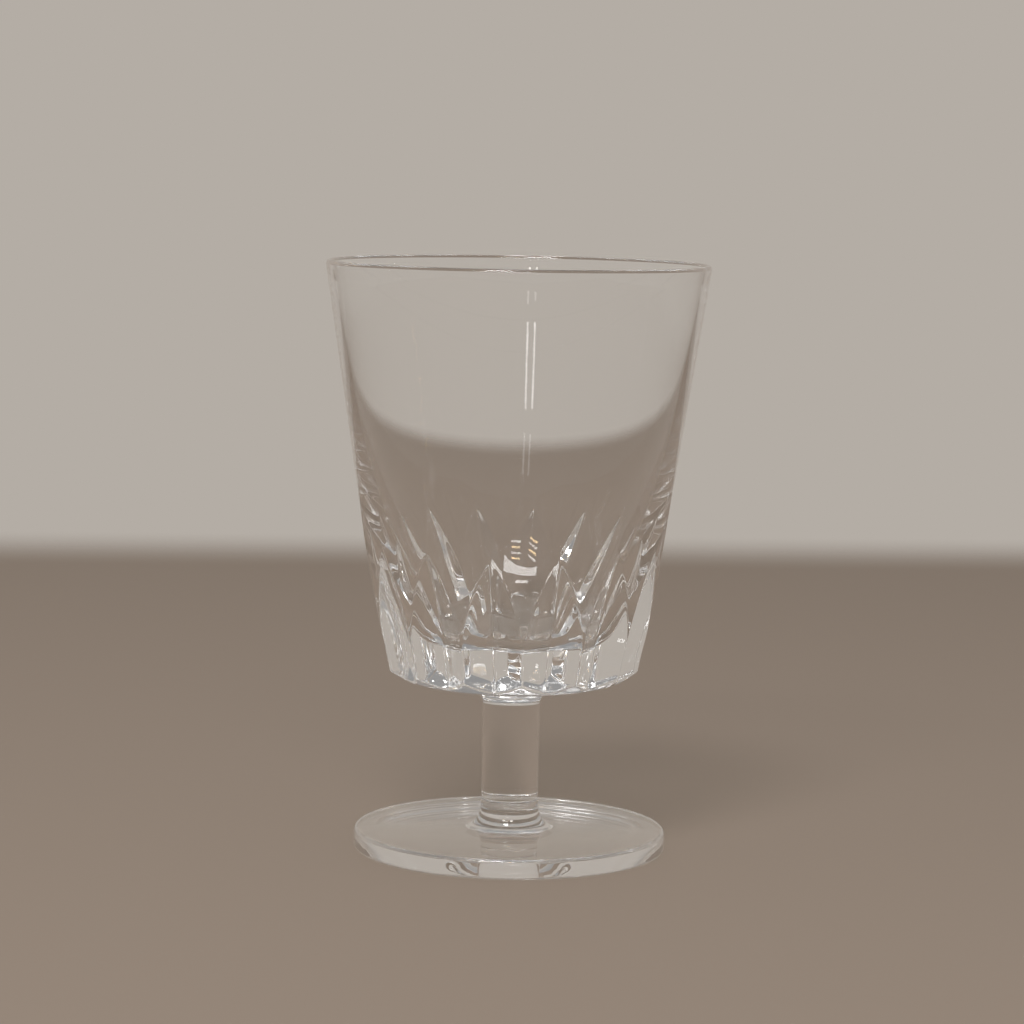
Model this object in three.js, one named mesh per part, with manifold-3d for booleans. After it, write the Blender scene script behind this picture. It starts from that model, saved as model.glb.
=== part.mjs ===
// Sherbet glass: a short-stemmed goblet of clear crystal, made of three pieces joined hot.
// Lengths are in millimetres and angles in degrees. +Z is up, and the origin is the centre of
// the foot's standing ring, on the surface that the glass stands on.

import * as THREE from "three";
import { mergeVertices } from "three/addons/utils/BufferGeometryUtils.js";
import Module from "manifold-3d";

// Foot: a thick round plate that rises a little to a low hub, which flares into it. The plate stands
// on a flat ring, inside which its underside is hollowed to a shallow dish.
const footDiameter = 64;
const footEdgeHeight = 4;
const footCrown = 0.3;
const footTopRound = 1.1;
const footBottomRound = 0.4;
const standingRing = 3;
const footHollow = 0.8;
const hubDiameter = 11.8;
const hubHeight = 6.1;
const hubFlareWidth = 3.3;
const hubFlareHeight = 4.4;

// Stem: a solid straight rod. Its lower edge and the hub's upper edge are softened by the fire.
const stemDiameter = 11.7;
const stemLength = 20.6;
const jointRound = 0.35;

// Fillet between the stem's side and the bowl's base. The joint lies in it, at the stem's upper end.
const filletWidth = 2.2;
const filletHeight = 2.7;
const filletOnStem = 1.1;

// Bowl, outside: a nearly flat base, a sloping shoulder and a straight conical wall.
const bowlHeight = 89.3;
const rimDiameter = 78;
const rimRound = 0.8;
const baseDiameter = 45;
const baseHeight = 4.3;
const shoulderDiameter = 53.2;
const shoulderHeight = 7;
const plainWallHeight = 34;

// Bowl, inside: from its rim down the wall thickens at a draft angle, and below a height it swells
// too, as a power of the depth, to a rounded corner and a dished floor.
const rimThickness = 1.2;
const draftAngle = 1.95;
const swellTopHeight = 72;
const wallSwell = 7;
const swellPower = 3.3;
const floorHeight = 13.3;
const floorCorner = 6;
const floorDish = 0.4;

// Mitre cuts round the bowl, each as a wheel with a V edge leaves it: a pointed arch on the wall,
// wider and deeper downwards, where it meets its neighbours in ridges and runs out through the base.
const cutCount = 14;
const cutTopHeight = 32.5;
const cutEndDiameter = 44.8;
const wheelDiameter = 194;
const wheelThickness = 30;
const wheelEdgeAngle = 132;

// Fineness of the round surfaces. The bowl's sides are alike round every cut.
const bowlSides = 6 * cutCount;
const footSides = 72;
const stemSides = 48;
const wheelSides = 160;
const arcSteps = 6;
const wallSteps = 10;
const cornerSteps = 5;
const hollowSteps = 4;
const floorSteps = 3;

const { degToRad, radToDeg, lerp, mapLinear } = THREE.MathUtils;
const point = (r, z) => new THREE.Vector2(r, z);

const rodRadius = stemDiameter / 2;
const hubTop = footEdgeHeight + hubHeight;
const stemTop = hubTop + stemLength;
const rimHeight = bowlHeight - rimRound;
const jointAngle = 180 - radToDeg(Math.asin(filletOnStem / filletHeight));

// Points on an elliptical arc about a centre, from one angle to another, both ends included.
function arc(centre, width, height, from, to, steps = arcSteps) {
  return Array.from({ length: steps + 1 }, (_, i) => {
    const angle = degToRad(lerp(from, to, i / steps));
    return point(centre.x + width * Math.cos(angle), centre.y + height * Math.sin(angle));
  });
}

// The surface with shared corners, without the triangles that shrink to nothing at the axis.
function weld(geometry) {
  geometry.deleteAttribute("normal");
  geometry.deleteAttribute("uv");
  const welded = mergeVertices(geometry);
  const corners = [];
  for (let i = 0; i < welded.index.count; i += 3) {
    const [a, b, c] = [0, 1, 2].map((k) => welded.index.getX(i + k));
    if (a !== b && b !== c && c !== a) corners.push(a, b, c);
  }
  welded.setIndex(corners);
  return welded;
}

// A solid of revolution about +Z, from a profile that runs upwards from the axis and back to it.
function revolve(profile, sides) {
  return weld(new THREE.LatheGeometry(profile, sides).rotateX(Math.PI / 2));
}

// Foot, from its underside to the joint with the stem.
function footGeometry() {
  const edge = footDiameter / 2;
  const hub = hubDiameter / 2;
  const plateTop = footEdgeHeight + footCrown;
  const lowerEdge = point(edge - footBottomRound, footBottomRound);
  const upperEdge = point(edge - footTopRound, footEdgeHeight - footTopRound);
  const flareCentre = point(hub + hubFlareWidth, plateTop + hubFlareHeight);
  const hubEdge = point(hub - jointRound, hubTop - jointRound);
  const hollowEdge = lowerEdge.x - standingRing;
  const hollow = Array.from({ length: hollowSteps }, (_, i) => {
    const share = i / hollowSteps;
    return point(hollowEdge * share, footHollow * (1 - share * share));
  });
  return revolve([
    ...hollow,
    point(hollowEdge, 0),
    ...arc(lowerEdge, footBottomRound, footBottomRound, -90, 0),
    ...arc(upperEdge, footTopRound, footTopRound, 0, 90),
    ...arc(flareCentre, hubFlareWidth, hubFlareHeight, 270, 180),
    ...arc(hubEdge, jointRound, jointRound, 0, 90),
    point(0, hubTop),
  ], footSides);
}

// Stem, from the joint with the foot to the joint with the bowl.
function stemGeometry() {
  const lowerEdge = point(rodRadius - jointRound, jointRound);
  const filletCentre = point(rodRadius + filletWidth, stemLength - filletOnStem);
  return revolve([
    point(0, 0),
    ...arc(lowerEdge, jointRound, jointRound, -90, 0),
    ...arc(filletCentre, filletWidth, filletHeight, 180, jointAngle),
    point(0, stemLength),
  ], stemSides);
}

// Radius of the bowl's conical wall at a height above the joint.
function wallRadius(height) {
  return mapLinear(height, shoulderHeight, rimHeight, shoulderDiameter / 2, rimDiameter / 2);
}

// Radius of the bowl's inside at a height above the joint.
function insideRadius(height) {
  const draft = (rimHeight - height) * Math.tan(degToRad(draftAngle));
  const share = Math.max(swellTopHeight - height, 0) / (swellTopHeight - floorHeight);
  return wallRadius(height) - rimThickness - draft - wallSwell * share ** swellPower;
}

// Height of the bowl's base at a radius, outside the fillet.
function baseRise(r) {
  return mapLinear(r, rodRadius + filletWidth, baseDiameter / 2, filletHeight - filletOnStem, baseHeight);
}

// Bowl before its cuts, from the joint with the stem to the rim and down inside to the floor.
function bowlGeometry() {
  const filletCentre = point(rodRadius + filletWidth, -filletOnStem);
  const rimCentre = point((rimDiameter - rimThickness) / 2, rimHeight);
  const cornerTop = floorHeight + floorCorner;
  const floorEdge = insideRadius(floorHeight) - floorCorner;
  const wall = Array.from({ length: wallSteps - 1 }, (_, i) => {
    const height = lerp(rimHeight, cornerTop, (i + 1) / wallSteps);
    return point(insideRadius(height), height);
  });
  const corner = new THREE.QuadraticBezierCurve(
    point(insideRadius(cornerTop), cornerTop),
    point(insideRadius(floorHeight), floorHeight),
    point(floorEdge, floorHeight),
  );
  const dish = Array.from({ length: floorSteps }, (_, i) => {
    const share = 1 - (i + 1) / floorSteps;
    return point(floorEdge * share, floorHeight - floorDish * (1 - share * share));
  });
  return revolve([
    point(0, 0),
    ...arc(filletCentre, filletWidth, filletHeight, jointAngle, 90),
    point(baseDiameter / 2, baseHeight),
    point(shoulderDiameter / 2, shoulderHeight),
    point(wallRadius(plainWallHeight), plainWallHeight),
    ...arc(rimCentre, rimThickness / 2, rimRound, 0, 180),
    ...wall,
    ...corner.getPoints(cornerSteps),
    ...dish,
  ], bowlSides);
}

// The cutting wheel, set so that the edge of its V passes through both ends of a cut's groove:
// the arch's point on the wall and the groove's end on the base.
function wheelGeometry() {
  const wheel = wheelDiameter / 2;
  const side = wheelThickness / 2;
  const sideRadius = wheel - side / Math.tan(degToRad(wheelEdgeAngle / 2));
  const top = point(wallRadius(cutTopHeight), cutTopHeight);
  const end = point(cutEndDiameter / 2, baseRise(cutEndDiameter / 2));
  const half = top.clone().sub(end).divideScalar(2);
  const reach = Math.sqrt(wheel ** 2 - half.lengthSq());
  const across = point(half.y, -half.x).setLength(reach);
  const centre = end.clone().add(half).add(across);
  const section = [
    point(0, -side),
    point(sideRadius, -side),
    point(wheel, 0),
    point(sideRadius, side),
    point(0, side),
  ];
  return weld(new THREE.LatheGeometry(section, wheelSides)).translate(centre.x, 0, centre.y);
}

// Boolean cuts.
const wasm = await Module();
wasm.setup();

function solid(geometry) {
  const vertProperties = new Float32Array(geometry.attributes.position.array);
  const triVerts = new Uint32Array(geometry.index.array);
  return new wasm.Manifold(new wasm.Mesh({ numProp: 3, vertProperties, triVerts }));
}

function surface(manifold) {
  const { vertProperties, triVerts } = manifold.getMesh();
  const geometry = new THREE.BufferGeometry();
  geometry.setAttribute("position", new THREE.BufferAttribute(vertProperties, 3));
  geometry.setIndex(new THREE.BufferAttribute(triVerts, 1));
  return geometry;
}

// Bowl with its cuts. The first faces +X, and ridges between two cuts face the front and the back.
function cutBowlGeometry() {
  const pitch = 360 / cutCount;
  const wheel = wheelGeometry();
  let bowl = solid(bowlGeometry());
  for (let i = 0; i < cutCount; i++) {
    const turned = wheel.clone().rotateZ(degToRad(pitch * i));
    bowl = bowl.subtract(solid(turned));
  }
  return surface(bowl);
}

// Clear colourless crystal, polished all over.
function crystal(name) {
  return new THREE.MeshStandardMaterial({
    name,
    color: 0xf2f5f5,
    roughness: 0.03,
    metalness: 0,
    transparent: true,
    opacity: 0.35,
  });
}

function piece(name, geometry, height) {
  const mesh = new THREE.Mesh(geometry, crystal(name));
  mesh.name = name;
  mesh.position.z = height;
  return mesh;
}

const sherbetGlass = new THREE.Group();
sherbetGlass.add(
  piece("foot", footGeometry(), 0),
  piece("stem", stemGeometry(), hubTop),
  piece("bowl", cutBowlGeometry(), stemTop),
);

export default sherbetGlass;
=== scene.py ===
"""Sherbet glass: the fine surfaces, the crystal and the studio of a short-stemmed goblet.

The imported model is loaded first, and every surface here keeps to its sizes. Lengths are in metres.
Profiles hold points of radius and height. The bowl's own heights are counted from its joint with
the stem.
"""

import math
from typing import NamedTuple

import bpy
import numpy as np
from bpy.props import FloatProperty, FloatVectorProperty, IntProperty, PointerProperty
from mathutils import Matrix, Vector


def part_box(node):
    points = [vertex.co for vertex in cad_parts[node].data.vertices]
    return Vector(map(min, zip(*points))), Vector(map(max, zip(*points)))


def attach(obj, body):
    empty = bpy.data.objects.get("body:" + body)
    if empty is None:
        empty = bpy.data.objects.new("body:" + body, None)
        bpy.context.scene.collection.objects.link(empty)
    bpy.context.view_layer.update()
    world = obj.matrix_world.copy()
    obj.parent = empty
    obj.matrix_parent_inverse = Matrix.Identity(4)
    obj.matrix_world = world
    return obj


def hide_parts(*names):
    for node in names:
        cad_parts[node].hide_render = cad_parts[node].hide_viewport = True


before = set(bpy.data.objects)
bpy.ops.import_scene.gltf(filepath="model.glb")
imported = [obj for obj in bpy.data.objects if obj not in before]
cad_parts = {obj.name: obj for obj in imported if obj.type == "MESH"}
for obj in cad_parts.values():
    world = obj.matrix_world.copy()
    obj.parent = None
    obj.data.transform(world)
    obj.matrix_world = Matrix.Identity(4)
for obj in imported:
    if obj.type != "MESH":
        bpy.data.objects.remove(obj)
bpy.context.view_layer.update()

bl_info = {
    "name": "Sherbet glass",
    "version": (1, 0, 0),
    "blender": (4, 5, 0),
    "location": "3D View > Sidebar > Glass",
    "description": "Builds a short-stemmed crystal glass round its packed model",
    "category": "Add Mesh",
}

MM = 0.001

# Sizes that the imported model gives.
FOOT_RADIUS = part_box("foot")[1][0]
HUB_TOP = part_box("foot")[1][2]
STEM_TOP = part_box("stem")[1][2]
RIM_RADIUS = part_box("bowl")[1][0]
RIM_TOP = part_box("bowl")[1][2]

# Fineness of the surfaces, as numbers of steps: round the axis, along the profiles and on their arcs.
FOOT_SIDES = 180
STEM_SIDES = 144
HALF_CUT_SIDES = 14
LONG_STEPS = 32
FACE_STEPS = 43
INSIDE_STEPS = 47
CORNER_STEPS = 19
DISH_STEPS = 12
BEVEL_STEPS = 5
SMALL_ARC_STEPS = 10
LARGE_ARC_STEPS = 24
HALVINGS = 40
SMOOTH_ANGLE = math.radians(35)

# How the bowl's rows and columns crowd. The first four are powers of a row's share of its stretch,
# counted from the rim, the fillet or the arch's edge, and 1 would space them evenly. The last is a
# share of the way to no spacing at all at a groove or ridge.
INSIDE_POWER = 0.9
UNDER_POWER = 0.9
FACE_POWER = 1.7
WALL_POWER = 2.2
COLUMN_CROWDING = 0.6

# The photograph's camera: how far it is turned, where it stands, and its view in pixels. The width of
# its sensor is in millimetres.
CAMERA_TURN = math.radians(-4.3)
CAMERA_PITCH = math.radians(6.492)
CAMERA_ROLL = math.radians(1.0)
CAMERA_DISTANCE = 0.6559
CAMERA_HEIGHT = 0.1438
CAMERA_ASIDE = -0.54 * MM
FOCAL_PIXELS = 3240
IMAGE_PIXELS = 1024
SENSOR_WIDTH = 36
NEAR_CLIP = 0.01
ACROSS = Vector((math.cos(CAMERA_TURN), math.sin(CAMERA_TURN), 0))
AWAY = Vector((-math.sin(CAMERA_TURN), math.cos(CAMERA_TURN), 0))
BOWL_MIDDLE = Vector((0, 0, 50 * MM))

# How often a ray may turn inside the thick cut base before it is given up and goes black, and how
# many clear surfaces it may pass.
GLASS_BOUNCES = 128
CLEAR_BOUNCES = 64

# The table lies this much below the foot, so that the two don't touch.
TABLE_DROP = 0.1 * MM

# The soft box that lights the glass is a square above and in front of it.
SOFT_BOX_PLACE = Vector((-0.3, -0.8, 1.3))
SOFT_BOX_SIZE = 0.35

# Colours of the lamps.
WHITE = (1, 1, 1)
AMBER = (1, 0.72, 0.35)

# Places of a Mix node's colours among its sockets.
COLOUR_A = 6
COLOUR_B = 7
COLOUR_RESULT = 2


class Mirrored(NamedTuple):
    """A lamp that the glass mirrors: how far it is, its width and height in degrees, and how bright."""
    distance: float
    wide: float
    high: float
    brightness: float


# What the glass mirrors from behind the camera: a wide panel, two upright strips with fainter tails
# above them, and two stacks of slats. Their directions are those seen from the bowl, in degrees, and
# azimuths are counted from straight away from the camera.
PANEL = Mirrored(distance=2.6, wide=38, high=3.4, brightness=20)
PANEL_AZIMUTH = -170
PANEL_ELEVATION = 37.3
STRIP = Mirrored(distance=4.7, wide=1.3, high=3.8, brightness=8)
STRIP_TAIL = Mirrored(distance=4.7, wide=1.3, high=3.6, brightness=2.5)
STRIP_LEFT_AZIMUTH = -173.2
STRIP_RIGHT_AZIMUTH = -168.4
STRIP_ELEVATION = 9.3
STRIP_TAIL_ELEVATION = 19.8
SLAT_LEFT = Mirrored(distance=2.6, wide=9, high=0.4, brightness=22)
SLAT_LEFT_AZIMUTH = -177.5
SLAT_LEFT_ELEVATIONS = (31.5, 32.5, 33.5, 34.4)
SLAT_RIGHT = Mirrored(distance=2.6, wide=8, high=0.4, brightness=22)
SLAT_RIGHT_AZIMUTH = -156
SLAT_RIGHT_ELEVATIONS = (30.2, 31.2, 32.2, 33.2)

# The display's curve: a colour's linear share is a power of its written share, after an offset.
CURVE_POWER = 2.4
CURVE_OFFSET = 0.055
FULL_CHANNEL = 255


def linear(*channels):
    """A colour's linear shares from its red, green and blue, which are written from 0 to 255."""
    shares = [channel / FULL_CHANNEL for channel in channels]
    return tuple(((share + CURVE_OFFSET) / (1 + CURVE_OFFSET)) ** CURVE_POWER for share in shares)


class GLASS_PG_foot(bpy.types.PropertyGroup):
    """Sizes of the foot and its hub"""
    edge_height: FloatProperty(
        name="Edge height", description="Thickness of the plate at its edge",
        default=4 * MM, unit="LENGTH", precision=5)
    crown: FloatProperty(
        name="Crown", description="How much the plate rises from its edge to the hub",
        default=0.3 * MM, unit="LENGTH", precision=5)
    top_round: FloatProperty(
        name="Top round", description="Radius of the plate's upper edge",
        default=0.7 * MM, unit="LENGTH", precision=5)
    bottom_round: FloatProperty(
        name="Bottom round", description="Radius of the plate's lower edge",
        default=0.5 * MM, unit="LENGTH", precision=5)
    bulge: FloatProperty(
        name="Bulge", description="How far the middle of the plate's side stands out",
        default=0.08 * MM, unit="LENGTH", precision=5)
    standing_ring: FloatProperty(
        name="Standing ring", description="Width of the flat ring that the glass stands on",
        default=3 * MM, unit="LENGTH", precision=5)
    hollow: FloatProperty(
        name="Hollow", description="Depth of the hollow inside that ring",
        default=0.8 * MM, unit="LENGTH", precision=5)
    hub_radius: FloatProperty(
        name="Hub radius", description="Radius of the hub at its top",
        default=5.9 * MM, unit="LENGTH", precision=5)
    flare_width: FloatProperty(
        name="Flare width", description="How far the hub flares out on the plate",
        default=3.3 * MM, unit="LENGTH", precision=5)
    flare_height: FloatProperty(
        name="Flare height", description="Height over which the hub flares",
        default=4.4 * MM, unit="LENGTH", precision=5)


class GLASS_PG_stem(bpy.types.PropertyGroup):
    """Sizes of the stem, its joints and the fillet under the bowl"""
    rod_radius: FloatProperty(
        name="Rod radius", description="Radius of the stem's straight part",
        default=5.85 * MM, unit="LENGTH", precision=5)
    joint_round: FloatProperty(
        name="Joint round", description="Radius that the fire leaves on both edges of the lower joint",
        default=0.35 * MM, unit="LENGTH", precision=5)
    fillet_width: FloatProperty(
        name="Fillet width", description="How far the fillet spreads on the bowl's base",
        default=2.2 * MM, unit="LENGTH", precision=5)
    fillet_height: FloatProperty(
        name="Fillet height", description="Height of the fillet",
        default=2.7 * MM, unit="LENGTH", precision=5)
    fillet_on_stem: FloatProperty(
        name="Fillet on stem", description="Part of the fillet's height that lies on the stem",
        default=1.1 * MM, unit="LENGTH", precision=5)


class GLASS_PG_bowl(bpy.types.PropertyGroup):
    """Sizes of the bowl, outside and inside"""
    base_radius: FloatProperty(
        name="Base radius", description="Radius of the nearly flat base",
        default=22.5 * MM, unit="LENGTH", precision=5)
    base_height: FloatProperty(
        name="Base height", description="Height of the base's edge",
        default=4.3 * MM, unit="LENGTH", precision=5)
    base_bend: FloatProperty(
        name="Base bend", description="Length over which the base turns into the shoulder",
        default=0.5 * MM, unit="LENGTH", precision=5)
    shoulder_radius: FloatProperty(
        name="Shoulder radius", description="Radius of the conical wall's lower end",
        default=26.6 * MM, unit="LENGTH", precision=5)
    shoulder_height: FloatProperty(
        name="Shoulder height", description="Height of the conical wall's lower end",
        default=7 * MM, unit="LENGTH", precision=5)
    rim_round: FloatProperty(
        name="Rim round", description="Height of the rounded rim",
        default=0.8 * MM, unit="LENGTH", precision=5)
    rim_thickness: FloatProperty(
        name="Rim thickness", description="Thickness of the wall at the rim",
        default=1.2 * MM, unit="LENGTH", precision=5)
    draft_angle: FloatProperty(
        name="Draft angle", description="Angle at which the wall thickens downwards",
        default=math.radians(1.95), subtype="ANGLE")
    swell_height: FloatProperty(
        name="Swell height", description="Height below which the wall swells on the inside",
        default=72 * MM, unit="LENGTH", precision=5)
    swell: FloatProperty(
        name="Swell", description="How much the wall has swollen at the floor",
        default=7 * MM, unit="LENGTH", precision=5)
    swell_power: FloatProperty(
        name="Swell power", description="Power of the depth by which the wall swells", default=3.3)
    floor_height: FloatProperty(
        name="Floor height", description="Height of the inner floor's edge",
        default=13.3 * MM, unit="LENGTH", precision=5)
    floor_corner: FloatProperty(
        name="Floor corner", description="Size of the round corner between wall and floor",
        default=4 * MM, unit="LENGTH", precision=5)
    floor_dish: FloatProperty(
        name="Floor dish", description="How much lower the floor's middle lies",
        default=0.4 * MM, unit="LENGTH", precision=5)


class GLASS_PG_cuts(bpy.types.PropertyGroup):
    """Number and sizes of the mitre cuts"""
    count: IntProperty(
        name="Count", description="Number of cuts round the bowl", default=14, min=3)
    top_height: FloatProperty(
        name="Top height", description="Height of the pointed arches",
        default=32.7 * MM, unit="LENGTH", precision=5)
    end_radius: FloatProperty(
        name="End radius", description="Radius at which the grooves run out through the base",
        default=22.4 * MM, unit="LENGTH", precision=5)
    wheel_radius: FloatProperty(
        name="Wheel radius", description="Radius of the cutting wheel",
        default=97 * MM, unit="LENGTH", precision=5)
    wheel_angle: FloatProperty(
        name="Wheel angle", description="Angle between the two faces of the wheel's edge",
        default=math.radians(132), subtype="ANGLE")
    groove_round: FloatProperty(
        name="Groove round", description="How far polishing has rounded the bottom of each groove",
        default=0.35 * MM, unit="LENGTH", precision=5)
    groove_run: FloatProperty(
        name="Groove run", description="Length below the arch over which that rounding grows",
        default=12 * MM, unit="LENGTH", precision=5)
    ridge_round: FloatProperty(
        name="Ridge round", description="Rounding of the ridges between two cuts",
        default=0.2 * MM, unit="LENGTH", precision=5)
    arch_round: FloatProperty(
        name="Arch round", description="Rounding of the arches' edges on the wall",
        default=0.18 * MM, unit="LENGTH", precision=5)
    edge_round: FloatProperty(
        name="Edge round", description="Rounding where the cuts run out through the base",
        default=0.3 * MM, unit="LENGTH", precision=5)


class GLASS_PG_crystal(bpy.types.PropertyGroup):
    """Look of the crystal"""
    tint: FloatVectorProperty(
        name="Tint", description="Colour of the crystal", size=3, min=0, max=1,
        default=(1, 1, 1), subtype="COLOR")
    bend: FloatProperty(
        name="Index of refraction", description="How strongly the crystal bends light", default=1.53)
    shade: FloatVectorProperty(
        name="Shade", description="What the bowl and stem let through of the light that makes shadows",
        size=3, min=0, max=1, default=(0.8, 0.805, 0.8), subtype="COLOR")
    plate_shade: FloatVectorProperty(
        name="Plate shade", description="What the foot lets through of the light that makes shadows",
        size=3, min=0, max=1, default=(0.95, 0.955, 0.95), subtype="COLOR")
    cord_depth: FloatProperty(
        name="Cord depth", description="Depth of the faint upright cords in the surface",
        default=0.008 * MM, unit="LENGTH", precision=6)
    cord_width: FloatProperty(
        name="Cord width", description="Width of the cords",
        default=5 * MM, unit="LENGTH", precision=5)
    cord_stretch: FloatProperty(
        name="Cord stretch", description="How many times as high as wide the cords are", default=20)


class GLASS_PG_stage(bpy.types.PropertyGroup):
    """Colours of the studio and strength of its light"""
    table: FloatVectorProperty(
        name="Table", description="Colour of the matt table top", size=3, min=0, max=1,
        default=linear(155, 139, 125), subtype="COLOR")
    roughness: FloatProperty(
        name="Roughness", description="How matt the table top is",
        default=0.8, min=0, max=1, subtype="FACTOR")
    reach: FloatProperty(
        name="Reach", description="Distance from the glass to the table's edge",
        default=0.537, unit="LENGTH")
    fade: FloatProperty(
        name="Fade", description="Width over which the table top fades out at its edge",
        default=0.1, unit="LENGTH")
    wall: FloatVectorProperty(
        name="Wall", description="Colour of the studio's walls", size=3, min=0, max=1,
        default=linear(180, 173, 165), subtype="COLOR")
    wall_top: FloatProperty(
        name="Wall top", description="Sine of the elevation at which the walls begin to turn darker",
        default=0.3, min=0, max=1)
    ceiling_edge: FloatProperty(
        name="Ceiling edge", description="Sine of the elevation at which they have become the ceiling",
        default=0.6, min=0, max=1)
    ceiling: FloatVectorProperty(
        name="Ceiling", description="Colour of the studio's ceiling", size=3, min=0, max=1,
        default=(0.28, 0.28, 0.28), subtype="COLOR")
    soft_power: FloatProperty(
        name="Soft box", description="Power of the soft box that lights the glass",
        default=9, unit="POWER")


class GLASS_PG_glass(bpy.types.PropertyGroup):
    """Everything that can be changed on the glass and its stage"""
    foot: PointerProperty(name="Foot", description="Sizes of the foot", type=GLASS_PG_foot)
    stem: PointerProperty(name="Stem", description="Sizes of the stem", type=GLASS_PG_stem)
    bowl: PointerProperty(name="Bowl", description="Sizes of the bowl", type=GLASS_PG_bowl)
    cuts: PointerProperty(name="Cuts", description="Sizes of the cuts", type=GLASS_PG_cuts)
    crystal: PointerProperty(name="Crystal", description="Look of the crystal", type=GLASS_PG_crystal)
    stage: PointerProperty(name="Stage", description="Look of the stage", type=GLASS_PG_stage)


def arc(centre, width, height, start, stop, count=SMALL_ARC_STEPS):
    """Points on an elliptical arc about a centre, at even angles in degrees from start to stop."""
    angle = np.radians(np.linspace(start, stop, count + 1))
    return np.column_stack([centre[0] + width * np.cos(angle), centre[1] + height * np.sin(angle)])


def straight(start, stop, count):
    """Points on the line from start to stop at even steps, both ends included."""
    return np.linspace(start, stop, count + 1)


def turned(profile, angles):
    """Rows of points in space: each point of the profile, carried round the axis to every angle."""
    radius, height = profile[:, :1], profile[:, 1:]
    level = np.broadcast_to(height, (len(profile), len(angles)))
    return np.dstack([radius * np.cos(angles), radius * np.sin(angles), level])


def soft_most(a, b, bend):
    """The larger of a and b, with the corner where they cross rounded.

    It is a hyperbola that has both as its asymptotes: half of a plus b plus the root of the
    squares of their difference and of the bend.
    """
    return (a + b + np.sqrt((a - b) ** 2 + bend**2)) / 2


def soft_least(a, b, bend):
    """The smaller of a and b, with the corner where they cross rounded in the same way."""
    return -soft_most(-a, -b, bend)


def on_line(x, x0, y0, x1, y1):
    """The value at x on the straight line through (x0, y0) and (x1, y1)."""
    return y0 + (y1 - y0) * (x - x0) / (x1 - x0)


def turning_point(holds, low, high):
    """The value between low and high at which holds turns false, column by column, by halving."""
    for _ in range(HALVINGS):
        middle = (low + high) / 2
        true = holds(middle)
        low = np.where(true, middle, low)
        high = np.where(true, high, middle)
    return (low + high) / 2


def bent(start, turn, stop, share):
    """Points on the quadratic Bezier curve that leaves start towards turn and ends at stop."""
    return (1 - share) ** 2 * start + 2 * share * (1 - share) * turn + share**2 * stop


def shell(name, rows, joints):
    """A closed surface from rows of points that run round the axis, from the lower pole to the upper.

    The first and last rows lie on the axis and become one vertex each, with a fan of triangles.
    Between them, each cell of the grid is a quad. joints gives the rows of faces that lie in a
    joint with another piece, counted from the lower pole or, where negative, from the upper.
    """
    count, columns = rows.shape[:2]
    inner = rows[1:-1].reshape(-1, 3)
    lower, upper = len(inner), len(inner) + 1
    start = np.arange(count - 3)[:, None] * columns
    here = np.arange(columns)
    ahead = np.roll(here, -1)
    quads = np.stack([start + here, start + ahead, start + columns + ahead, start + columns + here], -1)
    last = (count - 3) * columns
    below = np.stack([np.full(columns, lower), ahead, here], -1)
    above = np.stack([last + here, last + ahead, np.full(columns, upper)], -1)
    vertices = np.vstack([inner, rows[0, :1], rows[-1, :1]])
    mesh = bpy.data.meshes.new(name)
    mesh.from_pydata(vertices, [], [*below.tolist(), *quads.reshape(-1, 4).tolist(), *above.tolist()])
    slots = np.zeros((count - 1, columns), np.int32)
    slots[joints] = 1
    mesh.polygons.foreach_set("material_index", slots.ravel())
    mesh.polygons.foreach_set("use_smooth", np.ones(len(mesh.polygons), bool))
    mesh.set_sharp_from_angle(angle=SMOOTH_ANGLE)
    mesh.update()
    piece = bpy.data.objects.new(name, mesh)
    bpy.context.scene.collection.objects.link(piece)
    return piece


def foot_profile(foot, stem):
    """The foot from its underside's centre, round the plate's edge and up the hub to the joint.

    The hollow underneath is a parabola, and so is the plate's side, which stands out in the
    middle. The hub's flare is a quarter of an ellipse.
    """
    plate_top = foot.edge_height + foot.crown
    joint_radius = foot.hub_radius - stem.joint_round
    flare_radius = foot.hub_radius + foot.flare_width
    side = FOOT_RADIUS - foot.bulge
    lower = (side - foot.bottom_round, foot.bottom_round)
    upper = (side - foot.top_round, foot.edge_height - foot.top_round)
    share = np.linspace(0, 1, LONG_STEPS + 1)
    hollow = np.column_stack([(lower[0] - foot.standing_ring) * share, foot.hollow * (1 - share**2)])
    share = np.linspace(-1, 1, LARGE_ARC_STEPS + 1)[1:-1]
    rise = lower[1] + (upper[1] - lower[1]) * (share + 1) / 2
    bulge = np.column_stack([side + foot.bulge * (1 - share**2), rise])
    return np.vstack([
        hollow,
        arc(lower, foot.bottom_round, foot.bottom_round, -90, 0),
        bulge,
        arc(upper, foot.top_round, foot.top_round, 0, 90),
        straight((upper[0], foot.edge_height), (flare_radius, plate_top), LONG_STEPS)[1:-1],
        arc((flare_radius, plate_top + foot.flare_height), foot.flare_width, foot.flare_height,
            270, 180, LARGE_ARC_STEPS),
        arc((joint_radius, HUB_TOP - stem.joint_round), stem.joint_round, stem.joint_round, 0, 90),
        (0, HUB_TOP),
    ])


def joint_angle(stem):
    """Angle in degrees on the fillet's ellipse at which the joint between stem and bowl cuts it."""
    return 180 - math.degrees(math.asin(stem.fillet_on_stem / stem.fillet_height))


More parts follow.
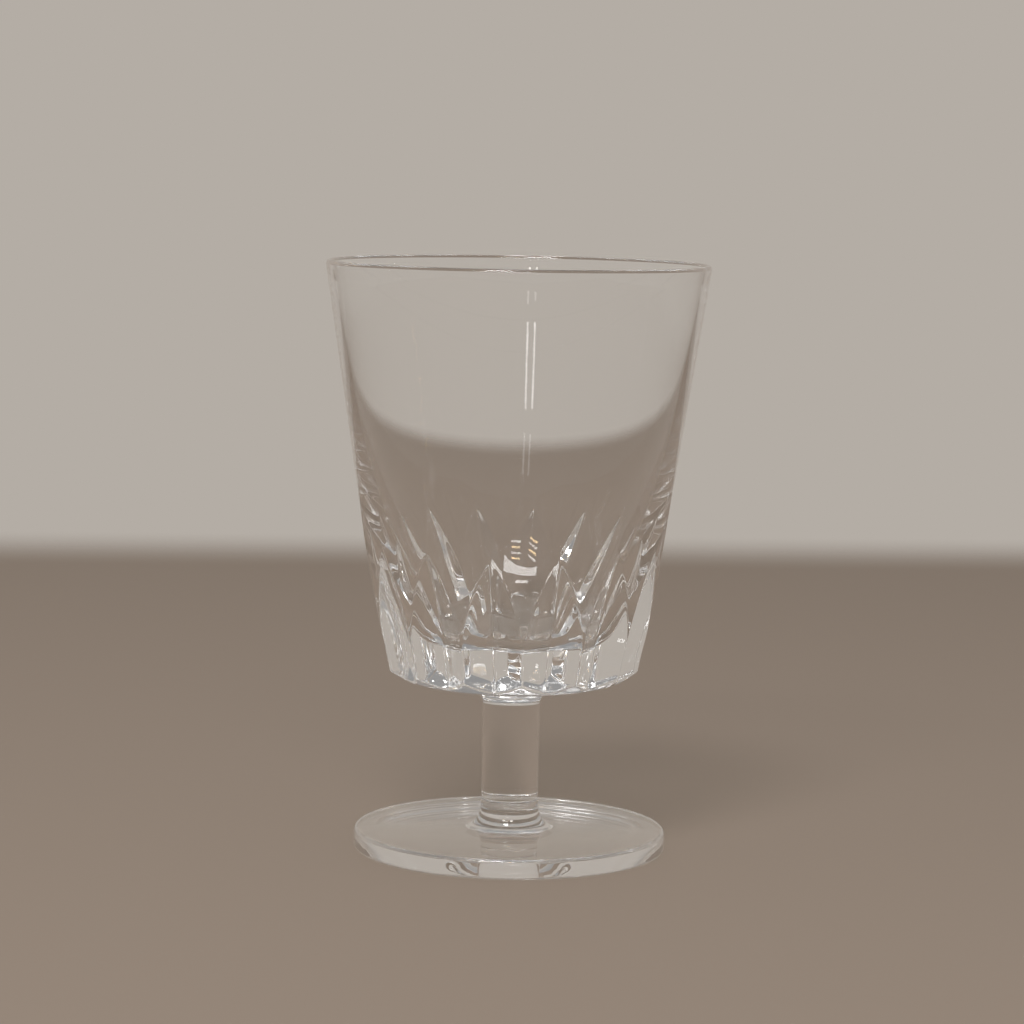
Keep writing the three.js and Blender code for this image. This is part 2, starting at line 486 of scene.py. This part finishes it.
def stem_profile(stem):
    """The stem from the joint on the hub, up its straight side and the fillet's foot to the bowl."""
    side_top = STEM_TOP - stem.fillet_on_stem
    lower = (stem.rod_radius - stem.joint_round, HUB_TOP + stem.joint_round)
    fillet = (stem.rod_radius + stem.fillet_width, side_top)
    return np.vstack([
        (0, HUB_TOP),
        arc(lower, stem.joint_round, stem.joint_round, -90, 0),
        straight((stem.rod_radius, lower[1]), (stem.rod_radius, side_top), LONG_STEPS)[1:-1],
        arc(fillet, stem.fillet_width, stem.fillet_height, 180, joint_angle(stem)),
        (0, STEM_TOP),
    ])


class BowlShape:
    """The bowl's surfaces as functions of an angle from a groove and a height above the joint."""

    def __init__(self, glass):
        """Keeps the sizes, and works out what several of the surfaces share."""
        self.bowl = glass.bowl
        self.cuts = glass.cuts
        self.stem = glass.stem
        self.half_pitch = math.pi / self.cuts.count
        self.rim = RIM_TOP - STEM_TOP - self.bowl.rim_round
        self.fillet_edge = self.stem.rod_radius + self.stem.fillet_width
        self.fillet_rise = self.stem.fillet_height - self.stem.fillet_on_stem
        self.wheel = self.wheel_centre()

    def wall_radius(self, height):
        """Radius of the conical wall: a straight line in height from the shoulder to the rim."""
        return on_line(height, self.bowl.shoulder_height, self.bowl.shoulder_radius, self.rim, RIM_RADIUS)

    def base_rise(self, radius):
        """Height of the nearly flat base at a radius: a straight line from the fillet outwards."""
        return on_line(radius, self.fillet_edge, self.fillet_rise,
                       self.bowl.base_radius, self.bowl.base_height)

    def under_height(self, radius):
        """Height of the underside at a radius: the larger of the base's line and the shoulder's."""
        shoulder = on_line(radius, self.bowl.base_radius, self.bowl.base_height,
                           self.bowl.shoulder_radius, self.bowl.shoulder_height)
        return soft_most(self.base_rise(radius), shoulder, self.bowl.base_bend)

    def wheel_centre(self):
        """Radius and height of the wheel's centre: its edge passes through both ends of the groove."""
        top = Vector((self.wall_radius(self.cuts.top_height), self.cuts.top_height))
        end = Vector((self.cuts.end_radius, self.base_rise(self.cuts.end_radius)))
        half = (top - end) / 2
        across = Vector((half.y, -half.x)).normalized()
        return end + half + across * math.sqrt(self.cuts.wheel_radius**2 - half.length_squared)

    def cut_radius(self, angle, height):
        """Radius of one cut's faces at an angle from its groove and a height.

        A point lies on the V when its distance from the wheel's axis is the wheel's radius less
        its distance from the groove's plane over the tangent of half the edge angle. That is a
        quadratic in the radius, whose smaller root is taken. The V's bottom is then rounded to a
        hyperbola, more and more downwards from the arch's point.
        """
        slope = math.tan(self.cuts.wheel_angle / 2)
        side = np.abs(np.sin(angle)) / slope
        a = np.cos(angle) ** 2 - side**2
        b = self.wheel.x * np.cos(angle) - self.cuts.wheel_radius * side
        c = self.wheel.x**2 + (height - self.wheel.y) ** 2 - self.cuts.wheel_radius**2
        radius = (b - np.sqrt(np.maximum(b * b - a * c, 0))) / a
        away = radius * np.abs(np.sin(angle))
        share = np.clip((self.cuts.top_height - height) / self.cuts.groove_run, 0, 1)
        rounding = self.cuts.arch_round + (self.cuts.groove_round - self.cuts.arch_round) * share
        return radius + (np.hypot(away, rounding) - away) / slope

    def side_radius(self, angle, height):
        """Radius of the side: the least of the wall, the nearest cut and the next one."""
        nearest = self.cut_radius(angle, height)
        following = self.cut_radius(2 * self.half_pitch - np.abs(angle), height)
        cut = soft_least(nearest, following, self.cuts.ridge_round)
        return soft_least(cut, self.wall_radius(height), self.cuts.arch_round)

    def inside_radius(self, height):
        """Radius of the inside: the wall's, less its thickness.

        The thickness is the rim's, plus the draft angle's tangent times the depth, plus the swell
        times a power of the depth below the swell's height.
        """
        draft = math.tan(self.bowl.draft_angle) * (self.rim - height)
        depth = np.maximum(self.bowl.swell_height - height, 0)
        share = depth / (self.bowl.swell_height - self.bowl.floor_height)
        swell = self.bowl.swell * share**self.bowl.swell_power
        return self.wall_radius(height) - self.bowl.rim_thickness - draft - swell

    def inside_profile(self):
        """The inside from the rim down: the swelling wall, a round corner and the dished floor.

        The corner is a quadratic Bezier curve from the wall to the floor, which turns where the
        wall, carried on down, meets the floor. The floor is a parabola.
        """
        floor = self.bowl.floor_height
        corner_top = floor + self.bowl.floor_corner
        share = np.linspace(0, 1, INSIDE_STEPS + 1) ** INSIDE_POWER
        height = self.rim + (corner_top - self.rim) * share
        wall = np.column_stack([self.inside_radius(height), height])
        turn = np.array([self.inside_radius(floor), floor])
        stop = turn - (self.bowl.floor_corner, 0)
        corner = bent(wall[-1], turn, stop, np.linspace(0, 1, CORNER_STEPS + 1)[1:, None])
        share = np.linspace(1, 0, DISH_STEPS + 1)[1:]
        dish = np.column_stack([stop[0] * share, floor - self.bowl.floor_dish * (1 - share**2)])
        return np.vstack([wall[1:], corner, dish]) + (0, STEM_TOP)

    def outside_rows(self, angle):
        """The outside between the fillet and the rim, one point per row and column.

        Each point is a radius and a height. A column runs out along the underside to where a cut
        ends it, turns a small round corner, climbs the cut's face to the arch's edge, and then
        the plain wall. Rows crowd at the arch's edge, by powers of their shares, so that it is
        crisp. That edge is looked for from the shoulder upwards, and the underside's end between
        half the base's height and twice the shoulder's.
        """
        none = np.zeros_like(angle)
        shoulder = self.bowl.shoulder_height
        arch = turning_point(
            lambda height: self.cut_radius(angle, height) < self.wall_radius(height),
            none + shoulder, none + shoulder + self.cuts.top_height)
        end = turning_point(
            lambda height: height < self.under_height(self.side_radius(angle, height)),
            none + self.bowl.base_height / 2, none + 2 * shoulder)
        end_radius = self.side_radius(angle, end)
        bevel = self.cuts.edge_round
        share = np.linspace(0, 1, FACE_STEPS + 1)[1:, None]
        out = self.fillet_edge + share**UNDER_POWER * (end_radius - bevel - self.fillet_edge)
        under = np.stack([out, self.under_height(out)], -1)
        climb = end + bevel + (1 - (1 - share) ** FACE_POWER) * (arch - end - bevel)
        face = np.stack([self.side_radius(angle, climb), climb], -1)
        corner = np.stack([end_radius, end], -1)
        bend = bent(under[-1], corner, face[0], np.linspace(0, 1, BEVEL_STEPS + 1)[1:-1, None, None])
        rise = arch + share**WALL_POWER * (self.rim - arch)
        wall = np.stack([self.side_radius(angle, rise), rise], -1)
        return np.concatenate([under, bend, face, wall])

    def rows(self):
        """All of the bowl's rows: the joint and fillet, the cut outside, the rim and the inside.

        Columns crowd at each groove and ridge: over half a pitch, their even places less a sine.
        """
        phase = np.linspace(0, 2 * np.pi, HALF_CUT_SIDES + 1)
        half = (phase - COLUMN_CROWDING * np.sin(phase)) / (2 * np.pi) * self.half_pitch
        sector = np.concatenate([-half[:0:-1], half[:-1]])
        turns = 2 * self.half_pitch * np.arange(self.cuts.count)
        angles = (turns[:, None] + sector).ravel()
        outside = self.outside_rows(np.tile(sector, self.cuts.count))
        radius = outside[..., 0]
        cut = np.dstack([radius * np.cos(angles), radius * np.sin(angles), outside[..., 1] + STEM_TOP])
        fillet = arc((self.fillet_edge, STEM_TOP - self.stem.fillet_on_stem), self.stem.fillet_width,
                     self.stem.fillet_height, joint_angle(self.stem), 90)
        half_rim = self.bowl.rim_thickness / 2
        rim = arc((RIM_RADIUS - half_rim, STEM_TOP + self.rim), half_rim, self.bowl.rim_round,
                  0, 180, LARGE_ARC_STEPS)
        return np.concatenate([
            turned(np.vstack([(0, STEM_TOP), fillet]), angles),
            cut,
            turned(rim[1:], angles),
            turned(self.inside_profile(), angles),
        ])


def add_math(tree, operation, first, second=None):
    """A Math node of an operation on one or two sockets, and its result."""
    node = tree.nodes.new("ShaderNodeMath")
    node.operation = operation
    tree.links.new(first, node.inputs[0])
    if second is not None:
        tree.links.new(second, node.inputs[1])
    return node.outputs[0]


def add_mix(tree, factor, shader, through):
    """Puts a mix of the shader and a transparent one on the material's output."""
    mix = tree.nodes.new("ShaderNodeMixShader")
    tree.links.new(factor, mix.inputs[0])
    tree.links.new(shader.outputs[0], mix.inputs[1])
    tree.links.new(through.outputs[0], mix.inputs[2])
    tree.links.new(mix.outputs[0], tree.nodes["Material Output"].inputs["Surface"])


def new_material(name):
    """A material with nodes, its node tree and its shader."""
    material = bpy.data.materials.new(name)
    material.use_nodes = True
    return material, material.node_tree, material.node_tree.nodes["Principled BSDF"]


def crystal(name, look, shade):
    """Clear glass with faint upright cords in its surface, as crystal that is worked hot has.

    The cords are a noise, drawn out in height, that raises the surface a little. To the rays that
    light a matt surface the glass is plainly transparent, with a tint that makes its shadow.
    """
    material, tree, shader = new_material(name)
    shader.inputs["Base Color"].default_value = (*look.tint, 1)
    shader.inputs["Roughness"].default_value = 0
    shader.inputs["IOR"].default_value = look.bend
    shader.inputs["Transmission Weight"].default_value = 1
    coordinates = tree.nodes.new("ShaderNodeTexCoord")
    stretch = tree.nodes.new("ShaderNodeMapping")
    stretch.inputs["Scale"].default_value = (1, 1, 1 / look.cord_stretch)
    noise = tree.nodes.new("ShaderNodeTexNoise")
    noise.inputs["Scale"].default_value = 1 / look.cord_width
    noise.inputs["Detail"].default_value = 1
    bump = tree.nodes.new("ShaderNodeBump")
    bump.inputs["Strength"].default_value = 1
    bump.inputs["Distance"].default_value = look.cord_depth
    tree.links.new(coordinates.outputs["Object"], stretch.inputs["Vector"])
    tree.links.new(stretch.outputs["Vector"], noise.inputs["Vector"])
    tree.links.new(noise.outputs["Fac"], bump.inputs["Height"])
    tree.links.new(bump.outputs["Normal"], shader.inputs["Normal"])
    path = tree.nodes.new("ShaderNodeLightPath")
    through = tree.nodes.new("ShaderNodeBsdfTransparent")
    through.inputs["Color"].default_value = (*shade, 1)
    lighting = add_math(tree, "MAXIMUM", path.outputs["Is Shadow Ray"], path.outputs["Is Diffuse Ray"])
    add_mix(tree, lighting, shader, through)
    return material


def joint_face(name):
    """The inside of a hot joint, where glass meets glass: nothing bends or mirrors light there."""
    material, tree, shader = new_material(name)
    tree.nodes.remove(shader)
    through = tree.nodes.new("ShaderNodeBsdfTransparent")
    tree.links.new(through.outputs[0], tree.nodes["Material Output"].inputs["Surface"])
    return material


def dress(piece, node, look, shade):
    """Gives a piece its crystal and its joint's faces, and lets it stand for a node of the model."""
    piece.data.materials.append(crystal(f"{node}_crystal", look, shade))
    piece.data.materials.append(joint_face(f"{node}_joint"))
    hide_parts(node)
    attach(piece, "root")


def table_top(look):
    """A matt table top that fades out before its edges.

    How far a point lies out is the larger of its distances along both axes. The fade is a smooth
    step of that.
    """
    material, tree, shader = new_material("pale_table")
    shader.inputs["Base Color"].default_value = (*look.table, 1)
    shader.inputs["Roughness"].default_value = look.roughness
    coordinates = tree.nodes.new("ShaderNodeTexCoord")
    parts = tree.nodes.new("ShaderNodeSeparateXYZ")
    tree.links.new(coordinates.outputs["Object"], parts.inputs[0])
    out = add_math(tree, "MAXIMUM", *(add_math(tree, "ABSOLUTE", parts.outputs[axis]) for axis in "XY"))
    ramp = tree.nodes.new("ShaderNodeMapRange")
    ramp.interpolation_type = "SMOOTHSTEP"
    ramp.inputs["From Min"].default_value = look.reach - look.fade
    ramp.inputs["From Max"].default_value = look.reach
    tree.links.new(out, ramp.inputs["Value"])
    through = tree.nodes.new("ShaderNodeBsdfTransparent")
    add_mix(tree, ramp.outputs["Result"], shader, through)
    return material


def studio_walls(look):
    """The studio's pale walls all round, which turn smoothly into its dimmer ceiling above."""
    world = bpy.data.worlds.new("studio")
    world.use_nodes = True
    tree = world.node_tree
    coordinates = tree.nodes.new("ShaderNodeTexCoord")
    parts = tree.nodes.new("ShaderNodeSeparateXYZ")
    tree.links.new(coordinates.outputs["Generated"], parts.inputs[0])
    ramp = tree.nodes.new("ShaderNodeMapRange")
    ramp.interpolation_type = "SMOOTHSTEP"
    ramp.inputs["From Min"].default_value = look.wall_top
    ramp.inputs["From Max"].default_value = look.ceiling_edge
    tree.links.new(parts.outputs["Z"], ramp.inputs["Value"])
    mix = tree.nodes.new("ShaderNodeMix")
    mix.data_type = "RGBA"
    tree.links.new(ramp.outputs["Result"], mix.inputs["Factor"])
    mix.inputs[COLOUR_A].default_value = (*look.wall, 1)
    mix.inputs[COLOUR_B].default_value = (*look.ceiling, 1)
    tree.links.new(mix.outputs[COLOUR_RESULT], tree.nodes["Background"].inputs["Color"])
    return world


def add_lamp(name, centre, width, height, power, colour=WHITE):
    """A rectangular soft lamp at centre, which faces the bowl and isn't seen by the camera itself."""
    light = bpy.data.lights.new(name, "AREA")
    light.shape = "RECTANGLE"
    light.size = width
    light.size_y = height
    light.energy = power
    light.color = colour
    lamp = bpy.data.objects.new(name, light)
    lamp.location = centre
    lamp.rotation_euler = (centre - BOWL_MIDDLE).to_track_quat("Z", "Y").to_euler()
    lamp.visible_camera = False
    bpy.context.scene.collection.objects.link(lamp)


def add_mirrored(name, azimuth, elevation, lamp, colour=WHITE):
    """A lamp that the glass mirrors, at an azimuth and elevation seen from the bowl.

    Its width is twice its distance times the tangent of half the angle that it fills, and so is
    its height. Its power is its brightness times pi times its area.
    """
    turn = math.radians(azimuth)
    rise = math.radians(elevation)
    level = AWAY * math.cos(turn) + ACROSS * math.sin(turn)
    centre = BOWL_MIDDLE + lamp.distance * (level * math.cos(rise) + Vector((0, 0, math.sin(rise))))
    width = 2 * lamp.distance * math.tan(math.radians(lamp.wide) / 2)
    height = 2 * lamp.distance * math.tan(math.radians(lamp.high) / 2)
    add_lamp(name, centre, width, height, lamp.brightness * math.pi * width * height, colour)


def add_strip(name, azimuth):
    """An upright strip, and above it its fainter tail."""
    add_mirrored(name, azimuth, STRIP_ELEVATION, STRIP)
    add_mirrored(f"{name}_tail", azimuth, STRIP_TAIL_ELEVATION, STRIP_TAIL)


def add_slats(name, azimuth, elevations, lamp, colours):
    """A stack of slats, one at each elevation, whose colours take turns."""
    for index, elevation in enumerate(elevations):
        add_mirrored(f"{name}_{index}", azimuth, elevation, lamp, colours[index % len(colours)])


def add_camera():
    """The photograph's camera, from its place, turn, pitch and roll."""
    forward = AWAY * math.cos(CAMERA_PITCH) - Vector((0, 0, math.sin(CAMERA_PITCH)))
    upward = ACROSS.cross(forward)
    right = ACROSS * math.cos(CAMERA_ROLL) + upward * math.sin(CAMERA_ROLL)
    top = upward * math.cos(CAMERA_ROLL) - ACROSS * math.sin(CAMERA_ROLL)
    camera = bpy.data.cameras.new("camera")
    camera.sensor_width = SENSOR_WIDTH
    camera.lens = SENSOR_WIDTH * FOCAL_PIXELS / IMAGE_PIXELS
    camera.clip_start = NEAR_CLIP
    body = bpy.data.objects.new("camera", camera)
    placing = Matrix((right, top, -forward)).transposed().to_4x4()
    placing.translation = ACROSS * CAMERA_ASIDE - AWAY * CAMERA_DISTANCE + Vector((0, 0, CAMERA_HEIGHT))
    body.matrix_world = placing
    bpy.context.scene.collection.objects.link(body)
    bpy.context.scene.camera = body


class GLASS_OT_foot(bpy.types.Operator):
    """Make the round foot with its hub"""
    bl_idname = "glass.foot"
    bl_label = "Foot"

    def execute(self, context):
        """Turns the foot's profile round the axis."""
        glass = context.scene.glass
        angles = np.linspace(0, 2 * np.pi, FOOT_SIDES, endpoint=False)
        piece = shell("fine_foot", turned(foot_profile(glass.foot, glass.stem), angles), [-1])
        dress(piece, "foot", glass.crystal, glass.crystal.plate_shade)
        return {"FINISHED"}


class GLASS_OT_stem(bpy.types.Operator):
    """Make the solid stem"""
    bl_idname = "glass.stem"
    bl_label = "Stem"

    def execute(self, context):
        """Turns the stem's profile round the axis."""
        glass = context.scene.glass
        angles = np.linspace(0, 2 * np.pi, STEM_SIDES, endpoint=False)
        piece = shell("fine_stem", turned(stem_profile(glass.stem), angles), [0, -1])
        dress(piece, "stem", glass.crystal, glass.crystal.shade)
        return {"FINISHED"}


class GLASS_OT_bowl(bpy.types.Operator):
    """Make the bowl with its mitre cuts"""
    bl_idname = "glass.bowl"
    bl_label = "Bowl"

    def execute(self, context):
        """Closes the bowl's rows to a shell."""
        glass = context.scene.glass
        piece = shell("fine_bowl", BowlShape(glass).rows(), [0])
        dress(piece, "bowl", glass.crystal, glass.crystal.shade)
        return {"FINISHED"}


class GLASS_OT_stage(bpy.types.Operator):
    """Make the table, walls, lamps and camera"""
    bl_idname = "glass.stage"
    bl_label = "Stage"

    def execute(self, context):
        """Lays the table a hair below the foot, and places the lamps by what the glass mirrors."""
        look = context.scene.glass.stage
        mesh = bpy.data.meshes.new("table")
        corners = np.array([(-1, -1, 0), (1, -1, 0), (1, 1, 0), (-1, 1, 0)]) * look.reach
        mesh.from_pydata(corners - (0, 0, TABLE_DROP), [], [(0, 1, 2, 3)])
        mesh.materials.append(table_top(look))
        table = bpy.data.objects.new("table", mesh)
        context.scene.collection.objects.link(table)
        context.scene.world = studio_walls(look)
        add_lamp("soft_box", SOFT_BOX_PLACE, SOFT_BOX_SIZE, SOFT_BOX_SIZE, look.soft_power)
        add_mirrored("panel", PANEL_AZIMUTH, PANEL_ELEVATION, PANEL)
        add_strip("strip_left", STRIP_LEFT_AZIMUTH)
        add_strip("strip_right", STRIP_RIGHT_AZIMUTH)
        add_slats("slat_left", SLAT_LEFT_AZIMUTH, SLAT_LEFT_ELEVATIONS, SLAT_LEFT, (WHITE, AMBER))
        add_slats("slat_right", SLAT_RIGHT_AZIMUTH, SLAT_RIGHT_ELEVATIONS, SLAT_RIGHT, (AMBER, WHITE))
        add_camera()
        context.scene.view_settings.view_transform = "Standard"
        cycles = context.scene.cycles
        cycles.max_bounces = GLASS_BOUNCES
        cycles.transmission_bounces = GLASS_BOUNCES
        cycles.glossy_bounces = GLASS_BOUNCES
        cycles.transparent_max_bounces = CLEAR_BOUNCES
        return {"FINISHED"}


OPERATORS = (GLASS_OT_foot, GLASS_OT_stem, GLASS_OT_bowl, GLASS_OT_stage)


class GLASS_PT_panel(bpy.types.Panel):
    """Lists the glass's sizes and colours and the operators that make it"""
    bl_idname = "GLASS_PT_panel"
    bl_label = "Sherbet glass"
    bl_space_type = "VIEW_3D"
    bl_region_type = "UI"
    bl_category = "Glass"

    def draw(self, context):
        """Draws each group's values in a box of its own, and the operators below them."""
        glass = context.scene.glass
        for group in type(glass).__annotations__:
            box = self.layout.box()
            box.label(text=group.capitalize())
            values = getattr(glass, group)
            for name in type(values).__annotations__:
                box.prop(values, name)
        for operator in OPERATORS:
            self.layout.operator(operator.bl_idname)


GROUPS = (GLASS_PG_foot, GLASS_PG_stem, GLASS_PG_bowl, GLASS_PG_cuts, GLASS_PG_crystal, GLASS_PG_stage)
CLASSES = (*GROUPS, GLASS_PG_glass, *OPERATORS, GLASS_PT_panel)


def register():
    """Registers the classes, and hangs the glass's values on the scene."""
    for cls in CLASSES:
        bpy.utils.register_class(cls)
    bpy.types.Scene.glass = PointerProperty(type=GLASS_PG_glass)


def unregister():
    """Takes the values and the classes away again."""
    del bpy.types.Scene.glass
    for cls in reversed(CLASSES):
        bpy.utils.unregister_class(cls)


def main():
    """Makes the pieces and the stage."""
    register()
    bpy.ops.glass.foot()
    bpy.ops.glass.stem()
    bpy.ops.glass.bowl()
    bpy.ops.glass.stage()


if __name__ == "__main__":
    main()
